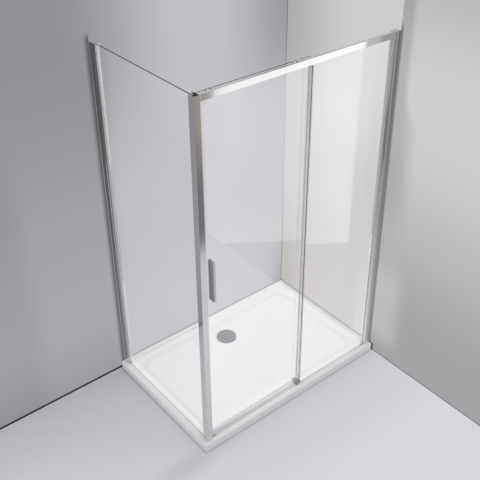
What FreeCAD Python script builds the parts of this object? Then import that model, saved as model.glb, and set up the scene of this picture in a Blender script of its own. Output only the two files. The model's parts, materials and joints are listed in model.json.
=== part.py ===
import FreeCAD
import Part
import os
from math import cos, radians, sin
from FreeCAD import Vector

os.makedirs("parts", exist_ok=True)

# Corner shower enclosure with one sliding door, on a low rectangular tray.
# +X runs along the door front to the right-hand wall, +Y runs inwards to the
# back wall, +Z is up. The origin is the middle of the tray's underside.
# All sizes are in millimetres.

# ---- Tray -------------------------------------------------------------------
tray_length = 1200.0
tray_width = 800.0
tray_height = 45.0
tray_corner_radius = 8.0
tray_edge_radius = 3.0
rim_width = 75.0
basin_slope = 20.0
basin_step = 12.0
basin_fall = 6.0
basin_corner_radius = 70.0
basin_lip_radius = 8.0

# ---- Waste ------------------------------------------------------------------
waste_from_back = 192.0
waste_hole_radius = 44.0
waste_outlet_radius = 25.0
waste_outlet_length = 8.0
waste_wall = 2.5
waste_base_gap = 1.0
waste_flange_radius = 53.0
waste_flange_thickness = 2.0
waste_gasket_thickness = 1.0
waste_recess_radius = 62.0
waste_deck_thickness = 9.0
dish_depth = 4.5
cover_radius = 57.0
cover_thickness = 2.5
cover_rise = 4.0
cover_water_gap = 4.0
cover_raised_by = 3.0
cover_foot_radius = 3.0
cover_foot_count = 3
cover_foot_circle = 47.0

# ---- Enclosure as a whole ---------------------------------------------------
enclosure_height = 1875.0
glass_thickness = 6.0
glazing_gap = 1.5
front_setback = 24.0
side_setback = 25.0
glass_inset = 8.5
glass_foot_gap = 4.0

# ---- Wall channels and the glazing profiles that slide in them --------------
channel_width = 28.0
channel_depth = 30.0
channel_wall = 1.6
slide_clearance = 0.2
profile_reach = 17.0
profile_hidden = 17.0
profile_wall = 1.6
pocket_depth = 14.0
gasket_lip = 3.0
cap_thickness = 2.0
cap_skirt = 8.0
wall_hole_radius = 2.75
wall_hole_end_distance = 120.0
wall_hole_rows = 4
lock_screw_from_wall = 21.0
lock_screw_radius = 2.0
lock_screw_head_radius = 4.0
lock_screw_head_height = 2.4
lock_screw_rows = 3

# ---- Corner post ------------------------------------------------------------
post_width = 32.0
post_depth = 36.0
post_front_setback = 20.0
post_wall = 2.0
post_corner_radius = 1.2
post_cap_recess = 1.0
post_cap_thickness = 3.0
post_foot_height = 15.0
wing_length = 15.0
wing_thickness = 4.0
striker_width = 8.0
striker_thickness = 2.0

# ---- Top rail and its track -------------------------------------------------
rail_height = 30.0
rail_depth = 15.0
rail_wall = 1.8
rail_edge_radius = 1.2
rail_pocket_depth = 12.0
ledge_rise = 1.0
ledge_thickness = 2.2
ledge_width = 12.0
bead_width = 2.6
bead_height = 3.0
bracket_length = 20.0
bracket_clearance = 0.2
bracket_screw_radius = 2.0

# ---- Rollers and hangers ----------------------------------------------------
track_offset = 8.0
roller_tread_radius = 9.5
roller_flange_radius = 11.5
roller_width = 7.0
roller_groove_side = 0.6
roller_spacing = 27.0
bearing_outer_radius = 6.5
bearing_width = 5.0
axle_radius = 3.0
running_clearance = 0.05
rolling_gap = 0.3
axle_head_radius = 4.6
axle_head_thickness = 1.4
roller_side_gap = 0.4
hanger_width = 44.0
hanger_thickness = 5.7
hanger_height = 35.0
hanger_corner_radius = 6.0
hanger_top_drop = 1.0
hanger_lip_width = 14.0
hanger_lip_depth = 6.5
hanger_lip_thickness = 3.0
hanger_lip_gap = 1.5
hanger_inset_leading = 66.5
hanger_inset_trailing = 84.0
pad_thickness = 0.8
glass_bolt_radius = 3.0
glass_bolt_head_radius = 12.0
glass_bolt_head_height = 4.0
glass_bolt_rise = 10.0
bush_wall = 2.0
bush_clearance = 0.15

# ---- Sliding door -----------------------------------------------------------
door_plane = 60.0
door_gap_at_striker = 0.5
door_top_drop = 7.0
door_foot_gap = 10.0
door_overlap = 10.0
open_gap = 6.0
stop_length = 18.0
stop_height = 12.0
stop_gap = 0.6
buffer_thickness = 3.0

# ---- Fixed front panel ------------------------------------------------------
fixed_edge = 654.0

# ---- Seals ------------------------------------------------------------------
seal_wall = 1.2
seal_grip = 8.0
magnet_depth = 4.0
foot_seal_grip = 6.0
seal_sweep_gap = 2.5
fin_gap = 2.5
fin_reach_gap = 4.0
seal_end_gap = 2.0

# ---- Handle -----------------------------------------------------------------
handle_from_edge = 40.5
handle_width = 12.0
handle_height = 220.0
handle_outer_depth = 24.0
handle_inner_depth = 12.0
handle_centre_height = 996.0
handle_edge_chamfer = 1.0
handle_bolt_spacing = 140.0
handle_bolt_radius = 2.5
handle_bolt_head_radius = 4.2
handle_bolt_head_depth = 5.0
handle_bolt_bite = 14.0

# ---- Foot guide -------------------------------------------------------------
guide_length = 24.0
guide_lead = 12.0
guide_base = 2.0
guide_height = 16.0
guide_end_wall = 4.0
guide_liner = 1.0
guide_slide_gap = 0.4
guide_screw_radius = 2.0
guide_screw_head_radius = 3.8
guide_screw_head_height = 3.0
guide_screw_bite = 12.0

# ---- Door threshold ---------------------------------------------------------
threshold_thickness = 2.5
threshold_rib_height = 1.2
threshold_rib_width = 1.6
threshold_upstand = 8.0
threshold_upstand_width = 2.2
threshold_end_length = 24.0
threshold_end_height = 2.5
threshold_inset = 0.5

# ---- Places worked out from the sizes above ---------------------------------
left_edge = -tray_length / 2
right_edge = tray_length / 2
front_edge = -tray_width / 2
back_edge = tray_width / 2
frame_top = tray_height + enclosure_height
rail_bottom = frame_top - rail_height
half_glass = glass_thickness / 2
pocket_width = glass_thickness + 2 * glazing_gap

fixed_plane = front_edge + front_setback + glass_inset
side_plane = left_edge + side_setback + glass_inset
door_face = front_edge + door_plane
door_back = door_face + glass_thickness
door_middle = door_face + half_glass

post_left = left_edge + side_setback
post_right = post_left + post_width
post_front = front_edge + post_front_setback
post_back = post_front + post_depth

profile_end = right_edge - channel_depth - profile_reach
side_profile_end = back_edge - channel_depth - profile_reach

rail_front = fixed_plane - rail_depth / 2
rail_back = fixed_plane + rail_depth / 2
ledge_top = rail_bottom + ledge_rise + ledge_thickness
track_line = rail_back + track_offset
axle_height = ledge_top + bead_height + rolling_gap + roller_tread_radius

striker_face = post_right + striker_thickness
door_leading = striker_face + door_gap_at_striker + magnet_depth
fixed_leading = left_edge + fixed_edge
door_trailing = fixed_leading + door_overlap
door_top = frame_top - door_top_drop
door_bottom = tray_height + door_foot_gap
glass_foot = tray_height + glass_foot_gap

door_travel = profile_end - gasket_lip - open_gap - door_trailing

hanger_back = door_face - pad_thickness
hanger_front = hanger_back - hanger_thickness
hanger_top = frame_top - hanger_top_drop
hanger_bottom = hanger_top - hanger_height
glass_bolt_height = hanger_bottom + glass_bolt_rise
hanger_places = [door_leading + hanger_inset_leading, door_trailing - hanger_inset_trailing]
roller_places = [place + side * roller_spacing / 2 for place in hanger_places for side in (-1, 1)]

guide_left = fixed_leading - guide_lead
guide_right = guide_left + guide_length
guide_top = tray_height + guide_height

basin_floor = tray_height - basin_step
waste_floor = basin_floor - basin_fall
waste_y = back_edge - waste_from_back
dish_floor = waste_floor - dish_depth
waste_seat = dish_floor - waste_flange_thickness - waste_gasket_thickness
deck_underside = dish_floor - waste_deck_thickness

handle_left = door_leading + handle_from_edge
handle_middle = handle_left + handle_width / 2
handle_bottom = handle_centre_height - handle_height / 2
handle_top = handle_bottom + handle_height
handle_bolt_heights = [handle_centre_height + side * handle_bolt_spacing / 2 for side in (-1, 1)]


# ---- Helpers ----------------------------------------------------------------
def block(x, y, z):
    """Box between (low, high) pairs along the three axes."""
    return Part.makeBox(x[1] - x[0], y[1] - y[0], z[1] - z[0], Vector(x[0], y[0], z[0]))


def upright(points, bottom, top):
    """Straight column whose plan is the closed polygon of (x, y) points."""
    corners = [Vector(x, y, bottom) for x, y in points]
    face = Part.Face(Part.makePolygon(corners + corners[:1]))
    return face.extrude(Vector(0, 0, top - bottom))


def lengthwise(points, start, end):
    """Straight bar along X whose section is the closed polygon of (y, z) points."""
    corners = [Vector(start, y, z) for y, z in points]
    face = Part.Face(Part.makePolygon(corners + corners[:1]))
    return face.extrude(Vector(end - start, 0, 0))


def rod(radius, start, end):
    """Round bar between two points."""
    along = Vector(*end) - Vector(*start)
    return Part.makeCylinder(radius, along.Length, Vector(*start), along)


def rod_y(radius, x, z, start, end):
    """Round bar along Y."""
    return rod(radius, (x, start, z), (x, end, z))


def rounded_outline(half_x, half_y, radius, centre_x, centre_y, height):
    """Closed wire of four lines and four quarter arcs at one height."""
    edges = []
    corners = [(1, 1, 0), (-1, 1, 90), (-1, -1, 180), (1, -1, 270)]
    points = []
    for side_x, side_y, start in corners:
        cx = centre_x + side_x * (half_x - radius)
        cy = centre_y + side_y * (half_y - radius)
        arc = [(cx + radius * cos(radians(start + turn)), cy + radius * sin(radians(start + turn)))
               for turn in (0, 45, 90)]
        points.append([Vector(x, y, height) for x, y in arc])
    for index, arc in enumerate(points):
        edges.append(Part.Arc(*arc).toShape())
        following = points[(index + 1) % len(points)]
        edges.append(Part.LineSegment(arc[2], following[0]).toShape())
    return Part.Wire(edges)


def turned(profile, centre, axis):
    """Ring or disc turned about the axis from (radius, distance) points."""
    spin = FreeCAD.Rotation(Vector(0, 0, 1), Vector(*axis))
    corners = [Vector(radius, 0, distance) for radius, distance in profile]
    face = Part.Face(Part.makePolygon(corners + corners[:1]))
    solid = face.revolve(Vector(0, 0, 0), Vector(0, 0, 1), 360)
    solid.Placement = FreeCAD.Placement(Vector(*centre), spin)
    return solid


def group(solids):
    """Several separate solids of one kind."""
    return Part.makeCompound(solids)


def export(name, shape):
    """One file per piece, or per group of identical pieces."""
    shape.exportStep("parts/" + name + ".step")


# ---- Tray and waste ---------------------------------------------------------
def make_tray():
    """Low tray with a broad flat rim, a soft step and a floor falling to the waste."""
    tray = block((left_edge, right_edge), (front_edge, back_edge), (0, tray_height))
    posts = [edge for edge in tray.Edges if abs(edge.tangentAt(edge.FirstParameter).z) > 0.5]
    tray = tray.makeFillet(tray_corner_radius, posts)
    around_top = [edge for edge in tray.Edges if edge.BoundBox.ZMin > tray_height - 0.1]
    tray = tray.makeFillet(tray_edge_radius, around_top)

    half_x = tray_length / 2 - rim_width
    half_y = tray_width / 2 - rim_width
    lip = rounded_outline(half_x, half_y, basin_corner_radius, 0, 0, tray_height)
    toe_radius = basin_corner_radius - basin_slope
    toe = rounded_outline(half_x - basin_slope, half_y - basin_slope, toe_radius, 0, 0, basin_floor)
    dish_radius = cover_radius + cover_water_gap
    around_dish = dish_radius + 2
    sink = rounded_outline(around_dish, around_dish, dish_radius, 0, waste_y, waste_floor)
    step = Part.makeLoft([lip, toe], True, True)
    fall = Part.makeLoft([toe, sink], True, True)
    tray = tray.cut(step.fuse(fall))
    lip_edges = [edge for edge in tray.Edges
                 if edge.BoundBox.ZMin > tray_height - 0.1 and abs(edge.BoundBox.YMax) < half_y + 1
                 and abs(edge.BoundBox.XMax) < half_x + 1]
    tray = tray.makeFillet(basin_lip_radius, lip_edges)

    tray = tray.cut(rod(dish_radius, (0, waste_y, dish_floor), (0, waste_y, tray_height)))
    tray = tray.cut(rod(waste_hole_radius, (0, waste_y, -1), (0, waste_y, tray_height)))
    seat = rod(waste_flange_radius + 1, (0, waste_y, waste_seat), (0, waste_y, tray_height))
    under = rod(waste_recess_radius, (0, waste_y, -1), (0, waste_y, deck_underside))
    screw = rod(guide_screw_radius, (guide_screw_x, guide_screw_y, tray_height - guide_screw_bite),
                (guide_screw_x, guide_screw_y, tray_height + 1))
    return tray.cut(seat).cut(under).cut(screw)


def make_waste_body():
    """Shallow cup under the tray whose bottom opens into the outlet."""
    inside = waste_hole_radius - waste_wall
    flange_top = deck_underside - waste_gasket_thickness
    outlet_top = waste_base_gap + waste_outlet_length
    return turned([
        (waste_outlet_radius, waste_base_gap), (waste_outlet_radius + waste_wall, waste_base_gap),
        (waste_outlet_radius + waste_wall, outlet_top - waste_wall),
        (waste_recess_radius - waste_wall, outlet_top - waste_wall),
        (waste_recess_radius - waste_wall, flange_top), (inside, flange_top),
        (inside, outlet_top), (waste_outlet_radius, outlet_top),
    ], (0, waste_y, 0), (0, 0, 1))


def make_waste_flange():
    """Bright ring let into the tray floor, with a skirt through the hole."""
    skirt = waste_hole_radius - slide_clearance
    skirt_bottom = deck_underside - waste_gasket_thickness
    top = dish_floor
    return turned([
        (skirt - waste_wall, skirt_bottom), (skirt, skirt_bottom),
        (skirt, waste_seat + waste_gasket_thickness),
        (waste_flange_radius, waste_seat + waste_gasket_thickness),
        (waste_flange_radius, top), (skirt - waste_wall, top),
    ], (0, waste_y, 0), (0, 0, 1))


def make_washer(outer, inner, bottom, thickness):
    """Flat ring about the waste axis."""
    return turned([(inner, bottom), (outer, bottom), (outer, bottom + thickness),
                   (inner, bottom + thickness)], (0, waste_y, 0), (0, 0, 1))


def make_waste_cover():
    """Shallow pressed dome on three feet, standing clear of the ring for the water."""
    edge_bottom = dish_floor + cover_raised_by
    edge_top = edge_bottom + cover_thickness
    crown = edge_top + cover_rise
    dome_radius = (cover_radius ** 2 + cover_rise ** 2) / (2 * cover_rise)
    centre = Vector(0, waste_y, crown - dome_radius)
    blank = rod(cover_radius, (0, waste_y, edge_bottom), (0, waste_y, crown + 1))
    cover = blank.common(Part.makeSphere(dome_radius, centre))
    cover = cover.cut(Part.makeSphere(dome_radius - cover_thickness, centre))
    feet = []
    for index in range(cover_foot_count):
        turn = radians(90 + 360 * index / cover_foot_count)
        x = cover_foot_circle * cos(turn)
        y = waste_y + cover_foot_circle * sin(turn)
        feet.append(rod(cover_foot_radius, (x, y, dish_floor + rolling_gap), (x, y, edge_top)))
    return cover.fuse(feet).removeSplitter()


# ---- Wall profiles ----------------------------------------------------------
# Both are drawn once, by distance from the wall and distance in from the outer face.
def at_right_wall(from_wall, inwards):
    return (right_edge - from_wall, front_edge + front_setback + inwards)


def at_back_wall(from_wall, inwards):
    return (left_edge + side_setback + inwards, back_edge - from_wall)


def wall_column(place, corners, bottom, top):
    """Column given by (from wall, inwards) corners."""
    return upright([place(*corner) for corner in corners], bottom, top)


def rectangle(from_wall, inwards):
    """Corners of a rectangle between (low, high) pairs."""
    return [(from_wall[0], inwards[0]), (from_wall[1], inwards[0]),
            (from_wall[1], inwards[1]), (from_wall[0], inwards[1])]


def wall_rod(place, radius, start, end, height):
    """Round bar between two (from wall, inwards) points at one height."""
    return rod(radius, (*place(*start), height), (*place(*end), height))


def wall_hole_heights():
    low = tray_height + wall_hole_end_distance
    high = frame_top - wall_hole_end_distance
    return [low + (high - low) * row / (wall_hole_rows - 1) for row in range(wall_hole_rows)]


def lock_screw_heights():
    low = tray_height + 2 * wall_hole_end_distance
    high = frame_top - 2 * wall_hole_end_distance
    return [low + (high - low) * row / (lock_screw_rows - 1) for row in range(lock_screw_rows)]


profile_near = channel_depth - profile_hidden
profile_far = channel_depth + profile_reach
profile_outer = channel_wall + slide_clearance
profile_inner = channel_width - channel_wall - slide_clearance
pocket_near = profile_far - pocket_depth
pocket_low = glass_inset - pocket_width / 2
pocket_high = glass_inset + pocket_width / 2


def make_wall_channel(place):
    """U section screwed to the wall, open away from it."""
    top = frame_top - cap_thickness
    outline = [
        (0, 0), (channel_depth, 0), (channel_depth, channel_wall), (channel_wall, channel_wall),
        (channel_wall, channel_width - channel_wall), (channel_depth, channel_width - channel_wall),
        (channel_depth, channel_width), (0, channel_width),
    ]
    channel = wall_column(place, outline, tray_height, top)
    for height in wall_hole_heights():
        channel = channel.cut(wall_rod(place, wall_hole_radius, (-1, channel_width / 2),
                                       (channel_wall + 1, channel_width / 2), height))
    for height in lock_screw_heights():
        channel = channel.cut(wall_rod(place, lock_screw_radius,
                                       (lock_screw_from_wall, channel_width - channel_wall - 1),
                                       (lock_screw_from_wall, channel_width + 1), height))
    return channel


def make_glazing_profile(place):
    """Hollow profile that slides in the channel and grips the edge of the glass."""
    body = wall_column(place, rectangle((profile_near, profile_far), (profile_outer, profile_inner)),
                       tray_height, frame_top)
    pocket = rectangle((pocket_near, profile_far + 1), (pocket_low, pocket_high))
    main_chamber = rectangle((profile_near + profile_wall, pocket_near - profile_wall),
                             (profile_outer + profile_wall, profile_inner - profile_wall))
    side_chamber = rectangle((pocket_near, profile_far - profile_wall),
                             (pocket_high + profile_wall, profile_inner - profile_wall))
    for corners in (pocket, main_chamber, side_chamber):
        body = body.cut(wall_column(place, corners, tray_height - 1, frame_top + 1))
    for height in lock_screw_heights():
        body = body.cut(wall_rod(place, lock_screw_radius,
                                 (lock_screw_from_wall, profile_inner - profile_wall - 1),
                                 (lock_screw_from_wall, profile_inner + 1), height))
    return body


def make_glazing_gasket(place, body_top, lip_top):
    """Rubber channel round the edge of the glass, with a lip outside the pocket."""
    lip_end = profile_far + gasket_lip
    glass_low = glass_inset - half_glass
    glass_high = glass_inset + half_glass
    hidden = [
        (pocket_near, pocket_low), (profile_far, pocket_low), (profile_far, glass_low),
        (pocket_near + glazing_gap, glass_low), (pocket_near + glazing_gap, glass_high),
        (profile_far, glass_high), (profile_far, pocket_high), (pocket_near, pocket_high),
    ]
    outer_lip = [
        (profile_far, pocket_low), (lip_end, pocket_low + glazing_gap / 2),
        (lip_end, glass_low), (profile_far, glass_low),
    ]
    inner_lip = [
        (profile_far, glass_high), (lip_end, glass_high),
        (lip_end, pocket_high - glazing_gap / 2), (profile_far, pocket_high),
    ]
    body = wall_column(place, hidden, glass_foot, body_top)
    lips = [wall_column(place, corners, glass_foot, lip_top) for corners in (outer_lip, inner_lip)]
    return body.fuse(lips).removeSplitter()


def make_channel_cap(place):
    """Cover on the top of the channel, with a skirt down inside its web."""
    lid = wall_column(place, rectangle((0, profile_near), (0, channel_width)),
                      frame_top - cap_thickness, frame_top)
    rims = []
    for inwards in ((0, channel_wall), (channel_width - channel_wall, channel_width)):
        rims.append(wall_column(place, rectangle((profile_near, channel_depth), inwards),
                                frame_top - cap_thickness, frame_top))
    inside = (channel_wall + slide_clearance, channel_width - channel_wall - slide_clearance)
    between = (channel_wall + slide_clearance, profile_near - slide_clearance)
    skirt = wall_column(place, rectangle(between, inside),
                        frame_top - cap_thickness - cap_skirt, frame_top)
    return lid.fuse(rims + [skirt]).removeSplitter()


def make_lock_screws(place):
    """Screws through the channel's inner flange that hold the profile where it was set."""
    screws = []
    for height in lock_screw_heights():
        tip = profile_inner - profile_wall - 3
        shank = wall_rod(place, lock_screw_radius, (lock_screw_from_wall, tip),
                         (lock_screw_from_wall, channel_width), height)
        head = wall_rod(place, lock_screw_head_radius, (lock_screw_from_wall, channel_width),
                        (lock_screw_from_wall, channel_width + lock_screw_head_height), height)
        screws.append(shank.fuse(head))
    return group(screws)


# ---- Corner post ------------------------------------------------------------
post_pocket_left = side_plane - pocket_width / 2
post_pocket_right = side_plane + pocket_width / 2
post_pocket_front = post_back - pocket_depth


def post_cavity():
    """Corners of the hollow beside and in front of the glazing pocket."""
    left = post_left + post_wall
    right = post_right - post_wall
    front = post_front + post_wall
    back = post_back - post_wall
    web_front = post_pocket_front - post_wall
    web_right = post_pocket_right + post_wall
    return [(left, front), (right, front), (right, back), (web_right, back),
            (web_right, web_front), (left, web_front)]


def rail_chamber(margin):
    """(y, z) corners of the rail's hollow, drawn in by a margin."""
    low = rail_bottom + rail_pocket_depth + rail_wall + margin
    high = frame_top - rail_wall - margin
    near = rail_front + rail_wall + margin
    far = rail_back - rail_wall - margin
    return [(near, low), (far, low), (far, high), (near, high)]


bracket_screw_height = frame_top - (rail_height - rail_pocket_depth) / 2


def make_corner_post():
    """Hollow post with the side glass let into its back and a wing for the striker."""
    post = block((post_left, post_right), (post_front, post_back), (tray_height, frame_top))
    corners = [edge for edge in post.Edges if edge.Length > enclosure_height - 1
               and edge.BoundBox.YMin < post_front + 1]
    post = post.makeFillet(post_corner_radius, corners)
    wing = block((post_right - wing_thickness, post_right), (post_back, post_back + wing_length),
                 (tray_height, frame_top))
    post = post.fuse(wing).removeSplitter()
    post = post.cut(upright(post_cavity(), tray_height - 1, frame_top + 1))
    pocket = block((post_pocket_left, post_pocket_right), (post_pocket_front, post_back + 1),
                   (tray_height - 1, frame_top + 1))
    screw = rod(bracket_screw_radius, (post_right - post_wall - 1, fixed_plane, bracket_screw_height),
                (post_right + 1, fixed_plane, bracket_screw_height))
    return post.cut(pocket).cut(screw)


def make_post_plug(bottom, top):
    """Plug that fills the post's hollow between two heights."""
    return upright(post_cavity(), bottom, top)


def make_post_gasket():
    """Rubber channel round the front edge of the side glass."""
    lip_end = post_back + gasket_lip
    glass_left = side_plane - half_glass
    glass_right = side_plane + half_glass
    outline = [
        (post_pocket_left, post_pocket_front), (post_pocket_right, post_pocket_front),
        (post_pocket_right, post_back), (post_pocket_right - glazing_gap / 2, lip_end),
        (glass_right, lip_end), (glass_right, post_pocket_front + glazing_gap),
        (glass_left, post_pocket_front + glazing_gap), (glass_left, lip_end),
        (post_pocket_left + glazing_gap / 2, lip_end), (post_pocket_left, post_back),
    ]
    return upright(outline, glass_foot, frame_top)


def make_striker():
    """Magnetic strip on the wing, where the door's edge comes home."""
    return block((post_right, striker_face),
                 (door_middle - striker_width / 2, door_middle + striker_width / 2),
                 (guide_top, door_top))


# ---- Top rail ---------------------------------------------------------------
def make_top_rail():
    """Hollow bar over the front, a pocket below for the glass and a track behind."""
    low = rail_bottom
    outline = [
        (rail_front, low), (fixed_plane - pocket_width / 2, low),
        (fixed_plane - pocket_width / 2, low + rail_pocket_depth),
        (fixed_plane + pocket_width / 2, low + rail_pocket_depth),
        (fixed_plane + pocket_width / 2, low), (rail_back, low),
        (rail_back, low + ledge_rise), (rail_back + ledge_width, low + ledge_rise),
        (rail_back + ledge_width, ledge_top), (track_line + bead_width / 2, ledge_top),
        (track_line + bead_width / 2, ledge_top + bead_height * 0.7),
        (track_line + bead_width / 4, ledge_top + bead_height),
        (track_line - bead_width / 4, ledge_top + bead_height),
        (track_line - bead_width / 2, ledge_top + bead_height * 0.7),
        (track_line - bead_width / 2, ledge_top), (rail_back, ledge_top),
        (rail_back, frame_top), (rail_front, frame_top),
    ]
    bar = lengthwise(outline, post_right, profile_end)
    long_edges = [edge for edge in bar.Edges if edge.Length > profile_end - post_right - 1]
    rounded_edges = [edge for edge in long_edges
                     if edge.BoundBox.YMin < rail_back + 1 and edge.BoundBox.ZMin > frame_top - 1]
    rounded_edges += [edge for edge in long_edges
                      if edge.BoundBox.YMin < rail_front + 1 and edge.BoundBox.ZMax < rail_bottom + 1]
    bar = bar.makeFillet(rail_edge_radius, rounded_edges)
    return bar.cut(lengthwise(rail_chamber(0), post_right - 1, profile_end + 1))


def make_rail_brackets():
    """Plugs in the rail's ends that carry it on the post and on the wall profile."""
    section = rail_chamber(bracket_clearance)
    near = lengthwise(section, post_right, post_right + bracket_length)
    bore = rod(bracket_screw_radius, (post_right - 1, fixed_plane, bracket_screw_height),
               (post_right + bracket_length + 1, fixed_plane, bracket_screw_height))
    far = lengthwise(section, profile_end - bracket_length, profile_end)
    tongue = block((profile_end, profile_end + pocket_depth - slide_clearance),
                   (fixed_plane - pocket_width / 2 + bracket_clearance,
                    fixed_plane + pocket_width / 2 - bracket_clearance),
                   (rail_bottom + rail_pocket_depth + rail_wall, frame_top - rail_wall))
    return group([near.cut(bore), far.fuse(tongue)])


def make_bracket_screw():
    """Screw from inside the post into the bracket in the rail's end."""
    inner_wall = post_right - post_wall
    head = rod(2 * bracket_screw_radius, (inner_wall - 2, fixed_plane, bracket_screw_height),
               (inner_wall, fixed_plane, bracket_screw_height))
    shank = rod(bracket_screw_radius, (inner_wall, fixed_plane, bracket_screw_height),
                (post_right + bracket_length - 2, fixed_plane, bracket_screw_height))
    return head.fuse(shank)


def make_rail_wedge():
    """Rubber wedge that holds the top edge of the fixed glass in the rail."""
    high = rail_bottom + rail_pocket_depth
    glass_top = high - glazing_gap
    near = fixed_plane - pocket_width / 2
    far = fixed_plane + pocket_width / 2
    outline = [
        (near, rail_bottom), (fixed_plane - half_glass, rail_bottom),
        (fixed_plane - half_glass, glass_top), (fixed_plane + half_glass, glass_top),
        (fixed_plane + half_glass, rail_bottom), (far, rail_bottom), (far, high), (near, high),
    ]
    return lengthwise(outline, fixed_leading, profile_end)


def rail_stop_places():
    """Left ends of the stops: one where the door shuts, one where it is fully open."""
    reach = roller_flange_radius + stop_gap
    shut = roller_places[0] - reach - stop_length
    opened = roller_places[-1] + door_travel + reach
    return shut, opened


def stop_section():
    """(y, z) corners of a stop that sits over the bead of the track."""
    near = track_line - roller_width / 2
    far = track_line + roller_width / 2
    high = ledge_top + stop_height
    slot = bead_width / 2 + slide_clearance
    slot_top = ledge_top + bead_height + slide_clearance
    return [
        (near, ledge_top), (track_line - slot, ledge_top), (track_line - slot, slot_top),
        (track_line + slot, slot_top), (track_line + slot, ledge_top), (far, ledge_top),
        (far, high), (near, high),
    ]


def make_rail_stops():
    shut, opened = rail_stop_places()
    return group([
        lengthwise(stop_section(), shut, shut + stop_length - buffer_thickness),
        lengthwise(stop_section(), opened + buffer_thickness, opened + stop_length),
    ])


def make_stop_buffers():
    shut, opened = rail_stop_places()
    return group([
        lengthwise(stop_section(), shut + stop_length - buffer_thickness, shut + stop_length),
        lengthwise(stop_section(), opened, opened + buffer_thickness),
    ])


# ---- Glass ------------------------------------------------------------------
def make_side_glass():
    return block((side_plane - half_glass, side_plane + half_glass),
                 (post_pocket_front + glazing_gap,
                  side_profile_end + pocket_depth - glazing_gap),
                 (glass_foot, frame_top))


def make_fixed_glass():
    return block((fixed_leading, profile_end + pocket_depth - glazing_gap),
                 (fixed_plane - half_glass, fixed_plane + half_glass),
                 (glass_foot, rail_bottom + rail_pocket_depth - glazing_gap))


def make_door_glass():
    """Sliding pane with holes for the two hangers and the handle."""
    pane = block((door_leading, door_trailing), (door_face, door_back), (door_bottom, door_top))
    for x in hanger_places:
        pane = pane.cut(rod_y(glass_bolt_radius + bush_wall, x, glass_bolt_height,
                              door_face - 1, door_back + 1))
    for z in handle_bolt_heights:
        pane = pane.cut(rod_y(handle_bolt_radius + bush_wall, handle_middle, z,
                              door_face - 1, door_back + 1))
    return pane


# ---- Rollers and hangers ----------------------------------------------------
def make_roller_tyre(x):
    """Grooved nylon wheel that runs over the bead of the track."""
    half = roller_width / 2
    bearing_half = bearing_width / 2
    tread = bead_width / 2 + roller_groove_side
    bore = bearing_outer_radius
    return turned([
        (bore, -bearing_half), (bore - 1, -bearing_half), (bore - 1, -half),
        (roller_flange_radius, -half), (roller_flange_radius, -half + 0.8),
        (roller_tread_radius, -tread), (roller_tread_radius, tread),
        (roller_flange_radius, half - 0.8), (roller_flange_radius, half), (bore, half),
    ], (x, track_line, axle_height), (0, 1, 0))


def make_roller_bearing(x):
    """Steel bearing pressed in the wheel, running on the axle."""
    half = bearing_width / 2
    bore = axle_radius + running_clearance
    return turned([
        (bore, -half), (bearing_outer_radius, -half), (bearing_outer_radius, half), (bore, half),
    ], (x, track_line, axle_height), (0, 1, 0))


def make_roller_axles():
    """Shouldered studs riveted in the hanger plates, with a head in front of each bearing."""
    head_back = -bearing_width / 2 - roller_side_gap
    shoulder = bearing_width / 2 + roller_side_gap
    plate = hanger_front - track_line
    studs = []
    for x in roller_places:
        studs.append(turned([
            (0, head_back - axle_head_thickness), (axle_head_radius, head_back - axle_head_thickness),
            (axle_head_radius, head_back), (axle_radius, head_back), (axle_radius, shoulder),
            (axle_head_radius, shoulder), (axle_head_radius, plate),
            (axle_radius, plate), (axle_radius, plate + hanger_thickness),
            (0, plate + hanger_thickness),
        ], (x, track_line, axle_height), (0, 1, 0)))
    return group(studs)


def make_hanger(x):
    """Plate that joins two rollers to the glass, its lip under the ledge against jumping off."""
    half = hanger_width / 2
    plate = block((x - half, x + half), (hanger_front, hanger_back), (hanger_bottom, hanger_top))
    corners = [edge for edge in plate.Edges if abs(edge.tangentAt(edge.FirstParameter).y) > 0.5]
    plate = plate.makeFillet(hanger_corner_radius, corners)
    for side in (-1, 1):
        plate = plate.cut(rod_y(axle_radius, x + side * roller_spacing / 2, axle_height,
                                hanger_front - 1, hanger_back + 1))
    lip_top = rail_bottom + ledge_rise - hanger_lip_gap
    lip = block((x - hanger_lip_width / 2, x + hanger_lip_width / 2),
                (hanger_front - hanger_lip_depth, hanger_front),
                (lip_top - hanger_lip_thickness, lip_top))
    plate = plate.fuse(lip).removeSplitter()
    return plate.cut(rod_y(glass_bolt_radius, x, glass_bolt_height, hanger_front + 1, hanger_back + 1))


def ring_y(outer, inner, x, z, start, end):
    """Ring about an axis along Y."""
    return rod_y(outer, x, z, start, end).cut(rod_y(inner, x, z, start - 1, end + 1))


def make_hanger_pads():
    """Soft washers between the metal and both faces of the glass."""
    pads = []
    for x in hanger_places:
        for start in (hanger_back, door_back):
            pads.append(ring_y(glass_bolt_head_radius - 1, glass_bolt_radius + 0.1, x, glass_bolt_height,
                               start, start + pad_thickness))
    return group(pads)


def make_hanger_bushes():
    """Plastic sleeves that keep the bolts off the glass."""
    return group([ring_y(glass_bolt_radius + bush_wall - bush_clearance, glass_bolt_radius + 0.1,
                         x, glass_bolt_height, door_face, door_back) for x in hanger_places])


def make_hanger_bolts():
    """Bolts with broad flat heads on the inside of the door."""
    bolts = []
    head_start = door_back + pad_thickness
    head_end = head_start + glass_bolt_head_height
    for x in hanger_places:
        head = rod_y(glass_bolt_head_radius, x, glass_bolt_height, head_start, head_end)
        rim = [edge for edge in head.Edges if edge.BoundBox.YMin > head_end - 0.1]
        head = head.makeChamfer(0.8, rim)
        shank = rod_y(glass_bolt_radius, x, glass_bolt_height, hanger_front + 1, head_start)
        bolts.append(head.fuse(shank).removeSplitter())
    return group(bolts)


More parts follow.
